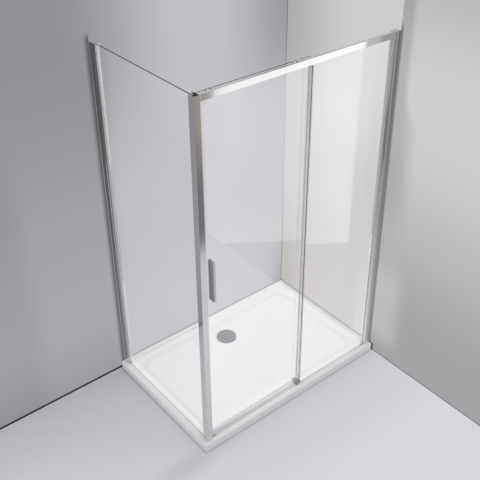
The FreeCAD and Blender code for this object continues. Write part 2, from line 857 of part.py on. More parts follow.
# ---- Seals of the door and the panels ---------------------------------------
def make_magnet_seal():
    """Clear strip on the door's leading edge with a magnet against the striker."""
    near = door_face - seal_wall
    far = door_back + seal_wall
    home = door_leading - magnet_depth
    grip = door_leading + seal_grip
    outline = [
        (home, near), (grip, near), (grip, door_face), (door_leading, door_face),
        (door_leading, door_back), (grip, door_back), (grip, far), (home, far),
    ]
    return upright(outline, guide_top, door_top)


def make_trailing_seal():
    """Clear strip on the door's trailing edge, its fin closing the gap to the fixed panel."""
    near = door_face - seal_wall
    far = door_back + seal_wall
    grip = door_trailing - seal_grip
    end = door_trailing + seal_wall
    fin_tip = fixed_plane + half_glass + seal_wall + fin_reach_gap
    outline = [
        (grip, near), (end - seal_wall, near), (end - seal_wall, fin_tip), (end, fin_tip), (end, far),
        (grip, far), (grip, door_back), (door_trailing, door_back), (door_trailing, door_face),
        (grip, door_face),
    ]
    return upright(outline, guide_top + seal_end_gap, hanger_bottom - seal_end_gap)


def make_fixed_edge_seal():
    """Clear strip on the fixed panel's free edge, its fin reaching back to the door."""
    near = fixed_plane - half_glass - seal_wall
    far = fixed_plane + half_glass + seal_wall
    start = fixed_leading - seal_wall
    grip = fixed_leading + seal_grip
    fin_tip = door_face - seal_wall - fin_gap / 2
    outline = [
        (start, near), (grip, near), (grip, fixed_plane - half_glass),
        (fixed_leading, fixed_plane - half_glass), (fixed_leading, fixed_plane + half_glass),
        (grip, fixed_plane + half_glass), (grip, far), (fixed_leading, far),
        (fixed_leading, fin_tip), (start, fin_tip),
    ]
    return upright(outline, guide_top + seal_end_gap, hanger_bottom - seal_end_gap)


def foot_seal_section(middle, bottom, floor, top):
    """Corners across the glass and up, of a strip pushed on the bottom edge of a pane."""
    outer = half_glass + seal_wall
    return [
        (middle - outer, bottom), (middle + outer, bottom), (middle + outer, top),
        (middle + half_glass, top), (middle + half_glass, floor), (middle - half_glass, floor),
        (middle - half_glass, top), (middle - outer, top),
    ]


def make_door_foot_seal():
    """Wiper under the sliding pane."""
    section = foot_seal_section(door_middle, tray_height + seal_sweep_gap, door_bottom,
                                door_bottom + foot_seal_grip)
    return lengthwise(section, door_leading + seal_end_gap, door_trailing - seal_end_gap)


def make_fixed_foot_seal():
    """Strip that beds the fixed pane on the rim of the tray."""
    section = foot_seal_section(fixed_plane, tray_height, glass_foot, glass_foot + foot_seal_grip)
    return lengthwise(section, guide_right, profile_end - gasket_lip)


def make_side_foot_seal():
    """Strip that beds the side pane on the rim of the tray."""
    section = foot_seal_section(side_plane, tray_height, glass_foot, glass_foot + foot_seal_grip)
    start = post_back + gasket_lip
    end = side_profile_end - gasket_lip
    corners = [Vector(x, start, z) for x, z in section]
    face = Part.Face(Part.makePolygon(corners + corners[:1]))
    return face.extrude(Vector(0, end - start, 0))


# ---- Handle -----------------------------------------------------------------
def handle_bar(front, back, outer_face):
    """Flat bar on edge, its long outer edges eased."""
    bar = block((handle_left, handle_left + handle_width), (front, back), (handle_bottom, handle_top))
    eased = [edge for edge in bar.Edges if abs(edge.BoundBox.YMax - outer_face) < 0.1
             and abs(edge.BoundBox.YMin - outer_face) < 0.1]
    return bar.makeChamfer(handle_edge_chamfer, eased)


def make_handle_outer():
    """Pull on the outside of the door, tapped for the two bolts."""
    front = door_face - handle_outer_depth
    back = door_face - pad_thickness
    bar = handle_bar(front, back, front)
    for z in handle_bolt_heights:
        bar = bar.cut(rod_y(handle_bolt_radius, handle_middle, z, back - handle_bolt_bite, back + 1))
    return bar


def make_handle_inner():
    """Pull on the inside, with the bolt heads let in."""
    front = door_back + pad_thickness
    back = door_back + handle_inner_depth
    bar = handle_bar(front, back, back)
    for z in handle_bolt_heights:
        bar = bar.cut(rod_y(handle_bolt_radius, handle_middle, z, front - 1, back + 1))
        bar = bar.cut(rod_y(handle_bolt_head_radius, handle_middle, z,
                            back - handle_bolt_head_depth, back + 1))
    return bar


def make_handle_pads():
    """Soft strips between the bars and the glass."""
    pads = []
    for start in (door_face - pad_thickness, door_back):
        pad = block((handle_left + 0.5, handle_left + handle_width - 0.5),
                    (start, start + pad_thickness), (handle_bottom + 0.5, handle_top - 0.5))
        for z in handle_bolt_heights:
            pad = pad.cut(rod_y(handle_bolt_radius + 0.1, handle_middle, z, start - 1,
                                start + pad_thickness + 1))
        pads.append(pad)
    return group(pads)


def make_handle_bushes():
    """Plastic sleeves in the two handle holes of the glass."""
    return group([ring_y(handle_bolt_radius + bush_wall - bush_clearance, handle_bolt_radius + 0.1,
                         handle_middle, z, door_face, door_back) for z in handle_bolt_heights])


def make_handle_bolts():
    """Socket bolts from the inside bar into the outside one."""
    bolts = []
    tip = door_face - pad_thickness - handle_bolt_bite + 2
    seat = door_back + handle_inner_depth - handle_bolt_head_depth
    for z in handle_bolt_heights:
        shank = rod_y(handle_bolt_radius, handle_middle, z, tip, seat)
        head = rod_y(handle_bolt_head_radius - 0.2, handle_middle, z, seat,
                     seat + handle_bolt_head_depth - 1)
        socket = rod_y(1.6, handle_middle, z, seat + 1.5, seat + handle_bolt_head_depth)
        bolts.append(shank.fuse(head).cut(socket))
    return group(bolts)


# ---- Foot guide and threshold -----------------------------------------------
guide_front = fixed_plane - half_glass - slide_clearance - guide_end_wall
guide_slot_near = door_face - seal_wall - guide_slide_gap
guide_slot_far = door_back + seal_wall + guide_slide_gap
guide_back = guide_slot_far + guide_liner + guide_end_wall
guide_screw_x = guide_left + guide_length / 2
guide_screw_y = (fixed_plane + half_glass + guide_slot_near) / 2


def make_foot_guide():
    """Block at the foot of the fixed panel: holds its corner and guides the door."""
    body = block((guide_left, guide_right), (guide_front, guide_back), (tray_height, guide_top))
    corner_slot = block((fixed_leading - slide_clearance, guide_right + 1),
                        (fixed_plane - half_glass, fixed_plane + half_glass),
                        (glass_foot, guide_top + 1))
    door_slot = block((guide_left - 1, guide_right + 1),
                      (guide_slot_near - guide_liner, guide_slot_far + guide_liner),
                      (tray_height + guide_base, guide_top + 1))
    head_bottom = guide_top - guide_screw_head_height
    shank = rod(guide_screw_radius, (guide_screw_x, guide_screw_y, tray_height - 1),
                (guide_screw_x, guide_screw_y, guide_top + 1))
    sink = rod(guide_screw_head_radius, (guide_screw_x, guide_screw_y, head_bottom),
               (guide_screw_x, guide_screw_y, guide_top + 1))
    return body.cut(corner_slot).cut(door_slot).cut(shank).cut(sink)


def make_guide_liners():
    """Low-friction cheeks in the slot that the door's foot runs through."""
    z = (tray_height + guide_base, guide_top)
    return group([
        block((guide_left, guide_right), (guide_slot_near - guide_liner, guide_slot_near), z),
        block((guide_left, guide_right), (guide_slot_far, guide_slot_far + guide_liner), z),
    ])


def make_guide_screw():
    """Countersunk screw that holds the guide to the tray."""
    head_bottom = guide_top - guide_screw_head_height
    shank = rod(guide_screw_radius,
                (guide_screw_x, guide_screw_y, tray_height - guide_screw_bite + 2),
                (guide_screw_x, guide_screw_y, head_bottom))
    head = rod(guide_screw_head_radius - 0.2, (guide_screw_x, guide_screw_y, head_bottom),
               (guide_screw_x, guide_screw_y, guide_top - 0.5))
    return shank.fuse(head)


threshold_front = post_front + threshold_inset
threshold_back = post_back + threshold_inset
threshold_rib = (threshold_front + threshold_back) / 2 - 2.5


def make_threshold():
    """Flat strip across the doorway, with a water bar in front of the door."""
    low = tray_height
    top = tray_height + threshold_thickness
    outline = [
        (threshold_front, low), (threshold_back, low), (threshold_back, low + threshold_upstand),
        (threshold_back - threshold_upstand_width, low + threshold_upstand),
        (threshold_back - threshold_upstand_width, top), (threshold_rib + threshold_rib_width, top),
        (threshold_rib + threshold_rib_width, top + threshold_rib_height),
        (threshold_rib, top + threshold_rib_height), (threshold_rib, top),
        (threshold_front + threshold_thickness, top), (threshold_front, low + 0.8),
    ]
    return lengthwise(outline, post_right, guide_left)


def make_threshold_end():
    """Clip over the strip's front half, beside the post."""
    top = tray_height + threshold_thickness
    return block((post_right + 1, post_right + 1 + threshold_end_length),
                 (threshold_front + threshold_thickness, threshold_rib),
                 (top, top + threshold_end_height))


# ---- Build ------------------------------------------------------------------
export("tray", make_tray())
export("waste_body", make_waste_body())
export("waste_body_gasket", make_washer(waste_recess_radius - waste_wall, waste_hole_radius,
                                        deck_underside - waste_gasket_thickness,
                                        waste_gasket_thickness))
export("waste_flange", make_waste_flange())
export("waste_flange_gasket", make_washer(waste_flange_radius, waste_hole_radius + 0.2, waste_seat,
                                          waste_gasket_thickness))
export("waste_cover", make_waste_cover())

fixed_glass_pocket = rail_bottom + rail_pocket_depth
gasket_tops = {"right": (fixed_glass_pocket, rail_bottom), "left": (frame_top, frame_top)}
for side, place in (("right", at_right_wall), ("left", at_back_wall)):
    export(side + "_wall_channel", make_wall_channel(place))
    export(side + "_glazing_profile", make_glazing_profile(place))
    export(side + "_glazing_gasket", make_glazing_gasket(place, *gasket_tops[side]))
    export(side + "_channel_cap", make_channel_cap(place))
    export(side + "_lock_screws", make_lock_screws(place))

post_cap_top = frame_top - post_cap_recess
export("corner_post", make_corner_post())
export("post_cap", make_post_plug(post_cap_top - post_cap_thickness, post_cap_top))
export("post_foot_plug", make_post_plug(tray_height, tray_height + post_foot_height))
export("post_gasket", make_post_gasket())
export("striker_strip", make_striker())

export("top_rail", make_top_rail())
export("rail_end_brackets", make_rail_brackets())
export("rail_bracket_screw", make_bracket_screw())
export("rail_wedge", make_rail_wedge())
export("rail_stops", make_rail_stops())
export("stop_buffers", make_stop_buffers())

export("side_glass", make_side_glass())
export("side_foot_seal", make_side_foot_seal())
export("fixed_glass", make_fixed_glass())
export("fixed_edge_seal", make_fixed_edge_seal())
export("fixed_foot_seal", make_fixed_foot_seal())

export("foot_guide", make_foot_guide())
export("guide_liners", make_guide_liners())
export("guide_screw", make_guide_screw())
export("threshold", make_threshold())
export("threshold_end_clip", make_threshold_end())

export("door_glass", make_door_glass())
export("magnet_seal", make_magnet_seal())
export("trailing_seal", make_trailing_seal())
export("door_foot_seal", make_door_foot_seal())
export("leading_hanger", make_hanger(hanger_places[0]))
export("trailing_hanger", make_hanger(hanger_places[1]))
export("hanger_pads", make_hanger_pads())
export("hanger_bushes", make_hanger_bushes())
export("hanger_bolts", make_hanger_bolts())
export("roller_axles", make_roller_axles())
for number, roller_x in enumerate(roller_places, start=1):
    export("roller_" + str(number) + "_tyre", make_roller_tyre(roller_x))
    export("roller_" + str(number) + "_bearing", make_roller_bearing(roller_x))

export("handle_outer", make_handle_outer())
export("handle_inner", make_handle_inner())
export("handle_pads", make_handle_pads())
export("handle_bushes", make_handle_bushes())
export("handle_bolts", make_handle_bolts())
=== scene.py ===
import json
from math import cos, pi, radians, sin

import bmesh
import bpy
from mathutils import Matrix, Vector


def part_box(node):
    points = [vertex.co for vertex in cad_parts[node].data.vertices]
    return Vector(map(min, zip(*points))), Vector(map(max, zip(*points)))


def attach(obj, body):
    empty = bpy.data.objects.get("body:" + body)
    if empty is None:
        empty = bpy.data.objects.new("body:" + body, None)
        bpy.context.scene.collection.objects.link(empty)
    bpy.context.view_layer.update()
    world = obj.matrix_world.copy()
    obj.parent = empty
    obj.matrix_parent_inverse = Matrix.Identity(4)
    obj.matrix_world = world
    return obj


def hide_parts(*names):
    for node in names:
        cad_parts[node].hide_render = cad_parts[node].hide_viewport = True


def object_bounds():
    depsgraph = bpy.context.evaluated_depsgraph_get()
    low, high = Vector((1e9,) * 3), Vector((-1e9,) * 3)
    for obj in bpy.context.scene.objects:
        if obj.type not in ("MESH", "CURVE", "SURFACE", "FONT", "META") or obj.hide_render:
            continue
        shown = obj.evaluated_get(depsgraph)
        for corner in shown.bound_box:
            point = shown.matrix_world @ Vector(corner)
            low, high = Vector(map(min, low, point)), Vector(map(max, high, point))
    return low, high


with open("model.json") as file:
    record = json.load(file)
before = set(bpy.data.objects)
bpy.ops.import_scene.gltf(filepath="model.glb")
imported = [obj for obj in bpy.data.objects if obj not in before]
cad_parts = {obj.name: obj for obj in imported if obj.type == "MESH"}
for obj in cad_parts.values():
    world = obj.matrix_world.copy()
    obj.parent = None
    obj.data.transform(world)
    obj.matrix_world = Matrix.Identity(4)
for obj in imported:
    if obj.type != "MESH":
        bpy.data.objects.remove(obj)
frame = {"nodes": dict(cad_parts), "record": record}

# Looks of a corner shower enclosure with a sliding door: finishes for the packed
# solids, cross-head screws, plugs for the wall profiles' tops, and the studio
# corner that it stands in. Metres throughout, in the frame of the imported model.

cad_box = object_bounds()
nodes_by_name = frame["nodes"]
tray_right, tray_back, full_height = cad_box[1]


# ---- Building materials from nodes -------------------------------------------
class Finish:
    """A new material with short calls for adding and joining its nodes."""

    def __init__(self, name):
        self.material = bpy.data.materials.new(name)
        self.material.use_nodes = True
        self.tree = self.material.node_tree
        self.tree.nodes.clear()
        self.output = self.add("ShaderNodeOutputMaterial")

    def add(self, kind, settings=None, **inputs):
        """Adds a node, sets its properties and sets or links its inputs."""
        node = self.tree.nodes.new(kind)
        for key, value in (settings or {}).items():
            setattr(node, key, value)
        for key, value in inputs.items():
            self.feed(node, key.replace("_", " "), value)
        return node

    def feed(self, node, key, value):
        """Sets one input by name or number, or links another node's output to it."""
        socket = node.inputs[int(key) if key.isdigit() else key]
        if isinstance(value, bpy.types.NodeSocket):
            self.tree.links.new(value, socket)
        else:
            socket.default_value = value

    def joined(self, kind, settings, keys, values):
        """A node with its numbered inputs fed in order."""
        node = self.add(kind, settings)
        for key, value in zip(keys, values):
            self.feed(node, key, value)
        return node

    def math(self, operation, first, second=0.0, clamp=False):
        """One Math node on values or sockets."""
        settings = {"operation": operation, "use_clamp": clamp}
        return self.joined("ShaderNodeMath", settings, "01", (first, second)).outputs[0]

    def times(self, value, *others):
        """Product of values or sockets."""
        for other in others:
            value = self.math("MULTIPLY", value, other)
        return value

    def plus(self, value, *others):
        """Sum of values or sockets."""
        for other in others:
            value = self.math("ADD", value, other)
        return value

    def minus(self, first, second, clamp=False):
        """First less second, kept within 0 and 1 if clamp is set."""
        return self.math("SUBTRACT", first, second, clamp)

    def ramp(self, value, low, high, at_low=0.0, at_high=1.0, smooth=True):
        """Maps value from low..high to at_low..at_high, held at both ends."""
        settings = {"interpolation_type": "SMOOTHSTEP" if smooth else "LINEAR"}
        numbers = (value, low, high, at_low, at_high)
        return self.joined("ShaderNodeMapRange", settings, "01234", numbers).outputs[0]

    def between(self, factor, first, second):
        """Number that goes from first to second with factor."""
        settings = {"data_type": "FLOAT"}
        return self.joined("ShaderNodeMix", settings, "023", (factor, first, second)).outputs[0]

    def blend(self, factor, first, second):
        """Colour that goes from first to second with factor."""
        settings = {"data_type": "RGBA"}
        return self.joined("ShaderNodeMix", settings, "067", (factor, first, second)).outputs[2]

    def scaled(self, tint, level):
        """A tint brought to a level."""
        node = self.add("ShaderNodeVectorMath", {"operation": "SCALE"}, Scale=level)
        self.feed(node, "0", tint)
        return node.outputs[0]

    def mixed(self, factor, first, second):
        """Surface that goes from first to second with factor."""
        surfaces = (factor, first.outputs[0], second.outputs[0])
        return self.joined("ShaderNodeMixShader", {}, "012", surfaces)

    def place(self, stretch=(1.0, 1.0, 1.0)):
        """Position on the piece, stretched along its axes."""
        spot = self.add("ShaderNodeTexCoord").outputs["Object"]
        return self.add("ShaderNodeMapping", Vector=spot, Scale=stretch).outputs[0]

    def parts(self, vector):
        """The x, y and z of a vector."""
        return tuple(self.add("ShaderNodeSeparateXYZ", Vector=vector).outputs)

    def rays(self):
        """The outputs that tell one kind of ray from another."""
        return self.add("ShaderNodeLightPath").outputs

    def passing_ray(self):
        """1 for shadow and diffuse rays, which clear pieces let straight through."""
        path = self.rays()
        return self.math("MAXIMUM", path["Is Shadow Ray"], path["Is Diffuse Ray"])

    def see_through(self, colour=(1.0, 1.0, 1.0, 1.0)):
        """Surface that only tints what lies behind it."""
        return self.add("ShaderNodeBsdfTransparent", Color=colour)

    def noise(self, place, scale, detail, roughness=0.5):
        """Soft procedural variation between 0 and 1."""
        return self.add("ShaderNodeTexNoise", Vector=place, Scale=scale, Detail=detail,
                        Roughness=roughness).outputs[0]

    def bump(self, height, strength, distance):
        """Surface relief from a height."""
        return self.add("ShaderNodeBump", Height=height, Strength=strength,
                        Distance=distance).outputs[0]

    def shader(self, **inputs):
        """The main surface shader."""
        return self.add("ShaderNodeBsdfPrincipled", **inputs)

    def done(self, surface):
        """Joins the surface to the output and returns the material."""
        self.feed(self.output, "Surface", surface.outputs[0])
        return self.material


def grey(level, tint=(1.0, 1.0, 1.0)):
    """Opaque colour of one level with a slight tint."""
    return tuple(level * part for part in tint) + (1.0,)


# Slight tints of the greys, and the refraction of glass and of most plastics.
cool, bluish, creamy = (1.0, 1.0, 1.01), (1.0, 1.0, 1.02), (1.0, 1.0, 0.98)
usual_ior = 1.5


# ---- Finishes of the enclosure -----------------------------------------------
def white_acrylic():
    """Gloss white moulding with a faint unevenness from the mould."""
    finish = Finish("white_acrylic")
    place = finish.place()
    cloud = finish.noise(place, 3.0, 3.0)
    colour = finish.blend(cloud, grey(0.84, (1.008, 1.0, 1.0)), grey(0.87, (1.008, 1.0, 1.005)))
    return finish.done(finish.shader(
        IOR=1.49, Base_Color=colour, Coat_Weight=0.3, Coat_Roughness=0.05,
        Roughness=finish.ramp(cloud, 0.2, 0.8, 0.12, 0.20),
        Normal=finish.bump(finish.noise(place, 140.0, 2.0), 0.05, 0.0006)))


def polished_bar(name, along):
    """Bright polished aluminium with faint drawing lines along the bar."""
    finish = Finish(name)
    stretch = tuple(1.5 if axis == along else 420.0 for axis in "xyz")
    lines = finish.noise(finish.place(stretch), 1.0, 3.0, 0.6)
    cloud = finish.noise(finish.place(), 5.0, 2.0)
    colour = finish.blend(cloud, grey(0.78, (1.0, 0.995, 0.99)), grey(0.84, (0.99, 0.995, 1.0)))
    return finish.done(finish.shader(
        Metallic=1.0, Base_Color=colour, Roughness=finish.ramp(lines, 0.25, 0.75, 0.06, 0.12),
        Normal=finish.bump(lines, 0.012, 0.0002)))


def satin_strip():
    """Pale satin aluminium strip with faint lines along X."""
    finish = Finish("satin_strip")
    lines = finish.noise(finish.place((1.5, 420.0, 420.0)), 1.0, 3.0, 0.6)
    colour = finish.blend(lines, grey(0.90, cool), grey(0.96, cool))
    return finish.done(finish.shader(
        Metallic=1.0, Base_Color=colour, Roughness=finish.ramp(lines, 0.25, 0.75, 0.22, 0.32)))


def chrome_plate():
    """Mirror chrome with a trace of polishing haze."""
    finish = Finish("chrome_plate")
    haze = finish.noise(finish.place(), 22.0, 3.0)
    colour = finish.blend(haze, grey(0.56, cool), grey(0.62, bluish))
    return finish.done(finish.shader(
        Metallic=1.0, Base_Color=colour, Roughness=finish.ramp(haze, 0.3, 0.7, 0.04, 0.10)))


def brushed_steel():
    """Drawn stainless steel with fine short lines."""
    finish = Finish("brushed_steel")
    lines = finish.noise(finish.place((60.0, 900.0, 900.0)), 1.0, 2.0, 0.6)
    cloud = finish.noise(finish.place(), 60.0, 2.0)
    return finish.done(finish.shader(
        Metallic=1.0, Base_Color=finish.blend(cloud, grey(0.68), grey(0.78)),
        Roughness=finish.ramp(lines, 0.25, 0.75, 0.24, 0.36),
        Normal=finish.bump(lines, 0.03, 0.0001)))


def brushed_cover():
    """Worn brushed metal with fine lines along X, a little cloudy and dull."""
    finish = Finish("brushed_cover")
    lines = finish.noise(finish.place((70.0, 1400.0, 1400.0)), 1.0, 3.0, 0.7)
    cloud = finish.noise(finish.place(), 75.0, 4.0, 0.65)
    worn = finish.plus(finish.times(lines, 0.45), finish.times(cloud, 0.55))
    colour = finish.blend(finish.ramp(worn, 0.35, 0.65), grey(0.44, bluish), grey(0.66, bluish))
    return finish.done(finish.shader(
        Metallic=1.0, Base_Color=colour, Roughness=finish.ramp(worn, 0.3, 0.7, 0.26, 0.42),
        Normal=finish.bump(lines, 0.12, 0.0001)))


def clear_glass(name, across, top_rim_painted_tone, upright_rim_painted_tone, foot_rim_painted_tone):
    """Toughened glass pane, its thickness along across, with painted light and shade on its ground
    edges: a tone for the top, the uprights and the foot.
    """
    finish = Finish(name)
    place = finish.place()
    pane = finish.shader(
        Base_Color=(0.990, 0.994, 0.992, 1.0), Roughness=0.0, IOR=usual_ior,
        Transmission_Weight=1.0, Normal=finish.bump(finish.noise(place, 1.7, 1.0), 0.02, 0.002))
    facing = finish.parts(finish.add("ShaderNodeNewGeometry").outputs["True Normal"])
    green = (0.95, 1.03, 1.02)
    # Painted light and shade: the ground edges get their tones by where they lie, top and foot by
    # height, uprights their own.
    upper = finish.math("GREATER_THAN", finish.parts(place)[2], 1.0)
    tone = finish.blend(upper, grey(foot_rim_painted_tone, green), grey(top_rim_painted_tone, green))
    level_edge = finish.math("GREATER_THAN", finish.math("ABSOLUTE", facing[2]), 0.5)
    tone = finish.blend(level_edge, grey(upright_rim_painted_tone, green), tone)
    grind = finish.noise(place, 260.0, 2.0)
    rim = finish.shader(
        IOR=usual_ior, Specular_IOR_Level=0.15,
        Base_Color=finish.scaled(tone, finish.ramp(grind, 0.25, 0.75, 0.8, 1.2)),
        Roughness=finish.ramp(grind, 0.3, 0.7, 0.22, 0.4))
    edge = finish.math("LESS_THAN", finish.math("ABSOLUTE", facing["xyz".index(across)]), 0.9)
    clear = finish.see_through((0.968, 0.973, 0.972, 1.0))
    return finish.done(finish.mixed(finish.passing_ray(), finish.mixed(edge, pane, rim), clear))


def clear_vinyl():
    """Soft clear seal, faintly cloudy along its length."""
    finish = Finish("clear_vinyl")
    cloud = finish.noise(finish.place((1.0, 1.0, 0.4)), 30.0, 3.0)
    tint = (1.0, 1.0, 1.03)
    skin = finish.shader(
        IOR=usual_ior, Specular_IOR_Level=0.5,
        Base_Color=finish.blend(cloud, grey(0.70, tint), grey(0.82, tint)),
        Roughness=finish.ramp(cloud, 0.2, 0.8, 0.16, 0.28))
    clearness = finish.math("MAXIMUM", finish.ramp(cloud, 0.3, 0.7, 0.90, 0.94),
                            finish.times(finish.passing_ray(), 0.96))
    return finish.done(finish.mixed(clearness, skin, finish.see_through((0.985, 0.985, 0.99, 1.0))))


def moulded(name, dark, light, smooth, rough, shine=0.5, relief=0.06):
    """Moulded plastic or rubber with a fine grain."""
    finish = Finish(name)
    place = finish.place()
    cloud = finish.noise(place, 25.0, 3.0)
    return finish.done(finish.shader(
        Base_Color=finish.blend(cloud, dark, light), IOR=usual_ior, Specular_IOR_Level=shine,
        Roughness=finish.ramp(cloud, 0.25, 0.75, smooth, rough),
        Normal=finish.bump(finish.noise(place, 900.0, 2.0), relief, 0.0003)))


grey_cover = moulded("grey_cover", grey(0.34, bluish), grey(0.42, bluish), 0.4, 0.5)
bright_steel = brushed_steel()
pale_rubber = moulded("pale_rubber", grey(0.60, bluish), grey(0.70, bluish), 0.45, 0.60, 0.4, 0.03)
finishes = {
    "tray_white": white_acrylic(),
    "bright_aluminium": polished_bar("upright_bar", "z"),
    "chrome_trim": chrome_plate(),
    # The last three numbers are the pane's painted edge tones: top, uprights and foot.
    "clear_glass": clear_glass("front_pane", "y", 0.015, 0.015, 0.50),
    "clear_seal": clear_vinyl(),
    "grey_rubber": moulded("soft_rubber", grey(0.34), grey(0.42), 0.55, 0.70, 0.3, 0.03),
    "black_plastic": moulded("black_cover", grey(0.008), grey(0.014), 0.45, 0.6, 0.15),
    "grey_plastic": grey_cover,
    "white_nylon": moulded("white_nylon", grey(0.74, creamy), grey(0.82, creamy), 0.35, 0.5),
    "bright_steel": bright_steel,
}
own_finishes = {
    "top_rail": polished_bar("rail_bar", "x"),
    "threshold": satin_strip(),
    # The last three numbers of each pane are its painted edge tones: top, uprights and foot.
    "side_glass": clear_glass("side_pane", "x", 0.012, 0.012, 0.30),
    "door_glass": clear_glass("door_pane", "y", 0.015, 0.75, 0.75),
    "waste_cover": brushed_cover(),
    "left_glazing_gasket": pale_rubber,
    "right_glazing_gasket": pale_rubber,
}

for part in frame["record"]["subparts"]:
    node = nodes_by_name[part["node"]]
    for material_slot in node.material_slots:
        material_slot.material = own_finishes.get(part["node"], finishes[part["material_slot"]])


# ---- Screws with a cross recess ----------------------------------------------
screw_head_radius, screw_head_height = 0.004, 0.0024
screw_shank_radius, screw_shank_length = 0.0019, 0.0016
screws_per_profile = 3


def screw_mesh(radius, height, shank_radius, shank_length):
    """Pan head with a cross recess, its seat at the origin and its head along +Z."""
    around = 48
    rings = [(1.0, 0.0), (1.0, 0.35), (0.96, 0.62), (0.86, 0.82), (0.72, 0.94), (0.58, 0.99),
             (0.46, 1.0), (0.36, 1.0), (0.27, 1.0), (0.19, 1.0), (0.12, 1.0), (0.06, 1.0)]
    first_cut_ring = 5
    arm_reach, arm_half_width = 0.56 * radius, 0.15 * radius
    slope_start, slope_length = 0.60 * radius, 0.30 * radius
    cross_depth = 0.62
    form = bmesh.new()

    def recess(x, y):
        """Depth of the cross at one place, as a share of the head's height."""
        short, long = sorted((abs(x), abs(y)))
        if long > arm_reach or short > arm_half_width:
            return 0.0
        return cross_depth * min(1.0, (slope_start - long) / slope_length)

    def ring(distance, level, cut):
        """One circle of the head or shank."""
        corners = []
        for step in range(around):
            turn = 2 * pi * step / around
            x, y = distance * cos(turn), distance * sin(turn)
            depth = recess(x, y) * height if cut else 0.0
            corners.append(form.verts.new((x, y, level - depth)))
        return corners

    circles = [ring(shank_radius, -shank_length, False), ring(shank_radius, 0.0, False)]
    circles += [ring(radius * share, height * rise, index >= first_cut_ring)
                for index, (share, rise) in enumerate(rings)]
    for lower, upper in zip(circles, circles[1:]):
        for step in range(around):
            after = (step + 1) % around
            form.faces.new((lower[step], lower[after], upper[after], upper[step]))
    form.faces.new(list(reversed(circles[0])))
    middle = form.verts.new((0.0, 0.0, height * (1 - cross_depth)))
    for step in range(around):
        form.faces.new((circles[-1][step], circles[-1][(step + 1) % around], middle))
    for face in form.faces:
        face.smooth = True
    mesh = bpy.data.meshes.new("cross_head_screw")
    form.to_mesh(mesh)
    form.free()
    return mesh


def screw_layout(name):
    """Geometry Nodes that set screws evenly along a line, and the keys of their inputs."""
    tree = bpy.data.node_groups.new(name, "GeometryNodeTree")
    tree.interface.new_socket("Geometry", in_out="INPUT", socket_type="NodeSocketGeometry")
    keys = {
        label: tree.interface.new_socket(label, in_out="INPUT", socket_type=kind).identifier
        for label, kind in (("Screw", "NodeSocketObject"), ("Count", "NodeSocketInt"),
                            ("First", "NodeSocketVector"), ("Last", "NodeSocketVector"),
                            ("Turn", "NodeSocketVector"), ("Finish", "NodeSocketMaterial"))
    }
    tree.interface.new_socket("Geometry", in_out="OUTPUT", socket_type="NodeSocketGeometry")
    start = tree.nodes.new("NodeGroupInput")
    end = tree.nodes.new("NodeGroupOutput")
    row = tree.nodes.new("GeometryNodeMeshLine")
    row.mode = "END_POINTS"
    pattern = tree.nodes.new("GeometryNodeObjectInfo")
    spread = tree.nodes.new("GeometryNodeInstanceOnPoints")
    real = tree.nodes.new("GeometryNodeRealizeInstances")
    paint = tree.nodes.new("GeometryNodeSetMaterial")
    links = (
        (start, "Count", row, "Count"), (start, "First", row, "Start Location"),
        (start, "Last", row, "Offset"), (start, "Screw", pattern, "Object"),
        (row, "Mesh", spread, "Points"), (pattern, "Geometry", spread, "Instance"),
        (start, "Turn", spread, "Rotation"), (spread, "Instances", real, "Geometry"),
        (real, "Geometry", paint, "Geometry"), (start, "Finish", paint, "Material"),
        (paint, "Geometry", end, "Geometry"),
    )
    for source, out, target, inside in links:
        tree.links.new(source.outputs[out], target.inputs[inside])
    return tree, keys


def spaced_screws(name, first, last, turn):
    """The screws of one profile, evenly spaced between two places, made one mesh."""
    tree, keys = screw_layout(name + "_layout")
    screw = bpy.data.objects.new(name + "_pattern", screw_mesh(
        screw_head_radius, screw_head_height, screw_shank_radius, screw_shank_length))
    carrier = bpy.data.objects.new(name + "_carrier", bpy.data.meshes.new(name + "_carrier"))
    for item in (screw, carrier):
        bpy.context.collection.objects.link(item)
    modifier = carrier.modifiers.new("layout", "NODES")
    modifier.node_group = tree
    values = {"Screw": screw, "Count": screws_per_profile, "First": first, "Last": last,
              "Turn": turn, "Finish": bright_steel}
    for label, value in values.items():
        modifier[keys[label]] = value
    bpy.context.view_layer.update()
    settled = carrier.evaluated_get(bpy.context.evaluated_depsgraph_get())
    mesh = bpy.data.meshes.new_from_object(settled)
    mesh.name = name
    piece = bpy.data.objects.new(name, mesh)
    bpy.context.collection.objects.link(piece)
    for item in (carrier, screw):
        bpy.data.objects.remove(item)
    return piece


def lock_screws(side, outward, turn):
    """The screws that lock one wall profile, on the face that looks along outward."""
    node = side + "_lock_screws"
    low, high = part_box(node)
    first = (Vector(low) + Vector(high)) / 2
    axis = max(range(3), key=lambda number: abs(outward[number]))
    first[axis] = high[axis] - screw_head_height
    last = first.copy()
    first.z = low[2] + screw_head_radius
    last.z = high[2] - screw_head_radius
    piece = spaced_screws(side + "_cross_screws", first, last, turn)
    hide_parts(node)
    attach(piece, "enclosure")


lock_screws("right", (0, 1, 0), (-pi / 2, 0.0, 0.0))
lock_screws("left", (1, 0, 0), (0.0, pi / 2, 0.0))


# ---- Plugs in the open tops of the wall profiles -----------------------------
# Each profile's two open chambers, by their x and y spans.
profile_chambers = {
    "left": (((-0.5716, -0.5504), (0.3686, 0.3854)), ((-0.5604, -0.5504), (0.3546, 0.3670))),
    "right": (((0.5686, 0.5854), (-0.3726, -0.3514)), ((0.5546, 0.5670), (-0.3614, -0.3514))),
}
plug_top, plug_thickness = full_height - 0.0004, 0.003


